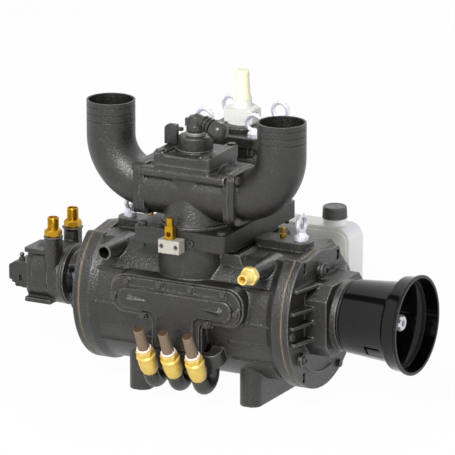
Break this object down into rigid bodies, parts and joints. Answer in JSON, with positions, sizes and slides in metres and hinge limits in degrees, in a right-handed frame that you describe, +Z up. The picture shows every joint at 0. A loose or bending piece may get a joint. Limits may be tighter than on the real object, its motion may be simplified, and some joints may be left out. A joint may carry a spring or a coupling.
{
  "type": "vacuum pump",
  "caption": "Rotary vane vacuum pump with changeover manifold, hose elbows, injection valves, guarded drive shaft, circulation pump and oil tank.",
  "frame": {"origin": "centre of the foot bolt pattern, on the base plane under the shaft", "axes": "+X along the shaft to the driven end, -Y to the injection side, +Z up"},
  "size_m": [0.972, 0.5071, 0.67],
  "materials": {
    "cast_paint": "satin",
    "gasket": "matte",
    "fastener": "satin",
    "bright_steel": "satin",
    "rotor_iron": "machined",
    "vane_sheet": "matte",
    "rubber": "matte",
    "guard_plastic": "gloss",
    "lever_plastic": "satin",
    "plug_brass": "machined",
    "zinc": "satin",
    "white_resin": "satin",
    "yellow_brass": "satin",
    "seal_white": "matte",
    "sintered": "rough",
    "white_block": "satin",
    "dark_brass": "satin",
    "tank_plastic": "satin",
    "cap_plastic": "matte",
    "bracket_steel": "satin"
  },
  "bodies": {
    "pump": {"casing": "cast_paint", "drive_end_cover": "cast_paint", "rear_end_cover": "cast_paint", "port_plate": "cast_paint", "valve_body": "cast_paint", "valve_cover": "cast_paint", "spindle_gland": "cast_paint", "stop_plate": "cast_paint", "left_elbow": "cast_paint", "right_elbow": "cast_paint", "rear_tower": "cast_paint", "tower_lid": "cast_paint", "injection_cover": "cast_paint", "injection_bends": "cast_paint", "pump_lantern": "cast_paint", "circulation_pump_cover": "cast_paint", "circulation_pump_body": "cast_paint", "lube_pump": "cast_paint", "guard_ring": "cast_paint", "cover_gaskets": "gasket", "cover_screws": "fastener", "manifold_screws": "fastener", "socket_plugs": "fastener", "bearing_outer_rings": "bright_steel", "relief_spring": "bright_steel", "check_spring_1": "bright_steel", "check_spring_2": "bright_steel", "check_spring_3": "bright_steel", "connector_screws": "bright_steel", "shaft_seals": "rubber", "pto_guard": "guard_plastic", "lifting_eyes": "zinc", "relief_valve_body": "white_resin", "relief_valve_bonnet": "white_resin", "check_valve_bodies": "yellow_brass", "water_fitting": "yellow_brass", "seal_rings": "seal_white", "silencers": "sintered", "connector_block": "white_block", "connector_fitting": "dark_brass", "grease_nipples": "dark_brass", "circulation_fittings": "dark_brass", "oil_tank": "tank_plastic", "tank_bracket": "bracket_steel"},
    "rotor_group": {"rotor": "rotor_iron", "shaft": "bright_steel", "bearing_inner_rings": "bright_steel", "impeller": "rotor_iron"},
    "vane_a": {"vane_1": "vane_sheet"},
    "vane_b": {"vane_2": "vane_sheet"},
    "vane_c": {"vane_3": "vane_sheet"},
    "vane_d": {"vane_4": "vane_sheet"},
    "changeover": {"changeover_lever": "lever_plastic", "valve_plug": "plug_brass"},
    "poppet_left": {"check_poppet_1": "bright_steel"},
    "poppet_middle": {"check_poppet_2": "bright_steel"},
    "poppet_right": {"check_poppet_3": "bright_steel"},
    "relief_disc": {"relief_poppet": "bright_steel"},
    "cap_seal_disc": {"cap_seal": "cap_plastic"},
    "cap": {"tank_cap": "cap_plastic"}
  },
  "joints": [
    {"name": "shaft_spin", "type": "hinge", "parent": "pump", "child": "rotor_group", "pos_m": [0, 0, 0.201], "axis": [1, 0, 0], "continuous": true},
    {"name": "vane_slide_a", "type": "slide", "parent": "rotor_group", "child": "vane_a", "axis": [0, 0.7071, 0.7071], "range_m": [0, 0.0029]},
    {"name": "vane_slide_b", "type": "slide", "parent": "rotor_group", "child": "vane_b", "axis": [0, -0.7071, 0.7071], "range_m": [0, 0.0029]},
    {"name": "vane_slide_c", "type": "slide", "parent": "rotor_group", "child": "vane_c", "axis": [0, -0.7071, -0.7071], "range_m": [0, 0.0029]},
    {"name": "vane_slide_d", "type": "slide", "parent": "rotor_group", "child": "vane_d", "axis": [0, 0.7071, -0.7071], "range_m": [0, 0.0029]},
    {"name": "changeover_turn", "type": "hinge", "parent": "pump", "child": "changeover", "pos_m": [0, -0.088, 0.6], "axis": [0, 0, 1], "range_deg": [-90, 0]},
    {"name": "check_lift_1", "type": "slide", "parent": "pump", "child": "poppet_left", "axis": [0, 0.4509, -0.8926], "range_m": [0, 0.006], "stiffness_N_per_m": 400, "springref_m": -0.004, "deforming": ["check_spring_1"]},
    {"name": "check_lift_2", "type": "slide", "parent": "pump", "child": "poppet_middle", "axis": [0, 0.4509, -0.8926], "range_m": [0, 0.006], "stiffness_N_per_m": 400, "springref_m": -0.004, "deforming": ["check_spring_2"]},
    {"name": "check_lift_3", "type": "slide", "parent": "pump", "child": "poppet_right", "axis": [0, 0.4509, -0.8926], "range_m": [0, 0.006], "stiffness_N_per_m": 400, "springref_m": -0.004, "deforming": ["check_spring_3"]},
    {"name": "relief_lift", "type": "slide", "parent": "pump", "child": "relief_disc", "axis": [0, 0, 1], "range_m": [0, 0.008], "stiffness_N_per_m": 1500, "springref_m": -0.01, "deforming": ["relief_spring"]},
    {"name": "cap_lift", "type": "slide", "parent": "pump", "child": "cap_seal_disc", "axis": [0, 0, 1], "range_m": [0, 0.012]},
    {"name": "cap_turn", "type": "hinge", "parent": "cap_seal_disc", "child": "cap", "pos_m": [0.172, 0.223, 0.35], "axis": [0, 0, 1], "range_deg": [0, 1080]}
  ],
  "couplings": [
    {"joint": "cap_turn", "follows": "cap_lift", "rad_per_m": 1570.8}
  ]
}
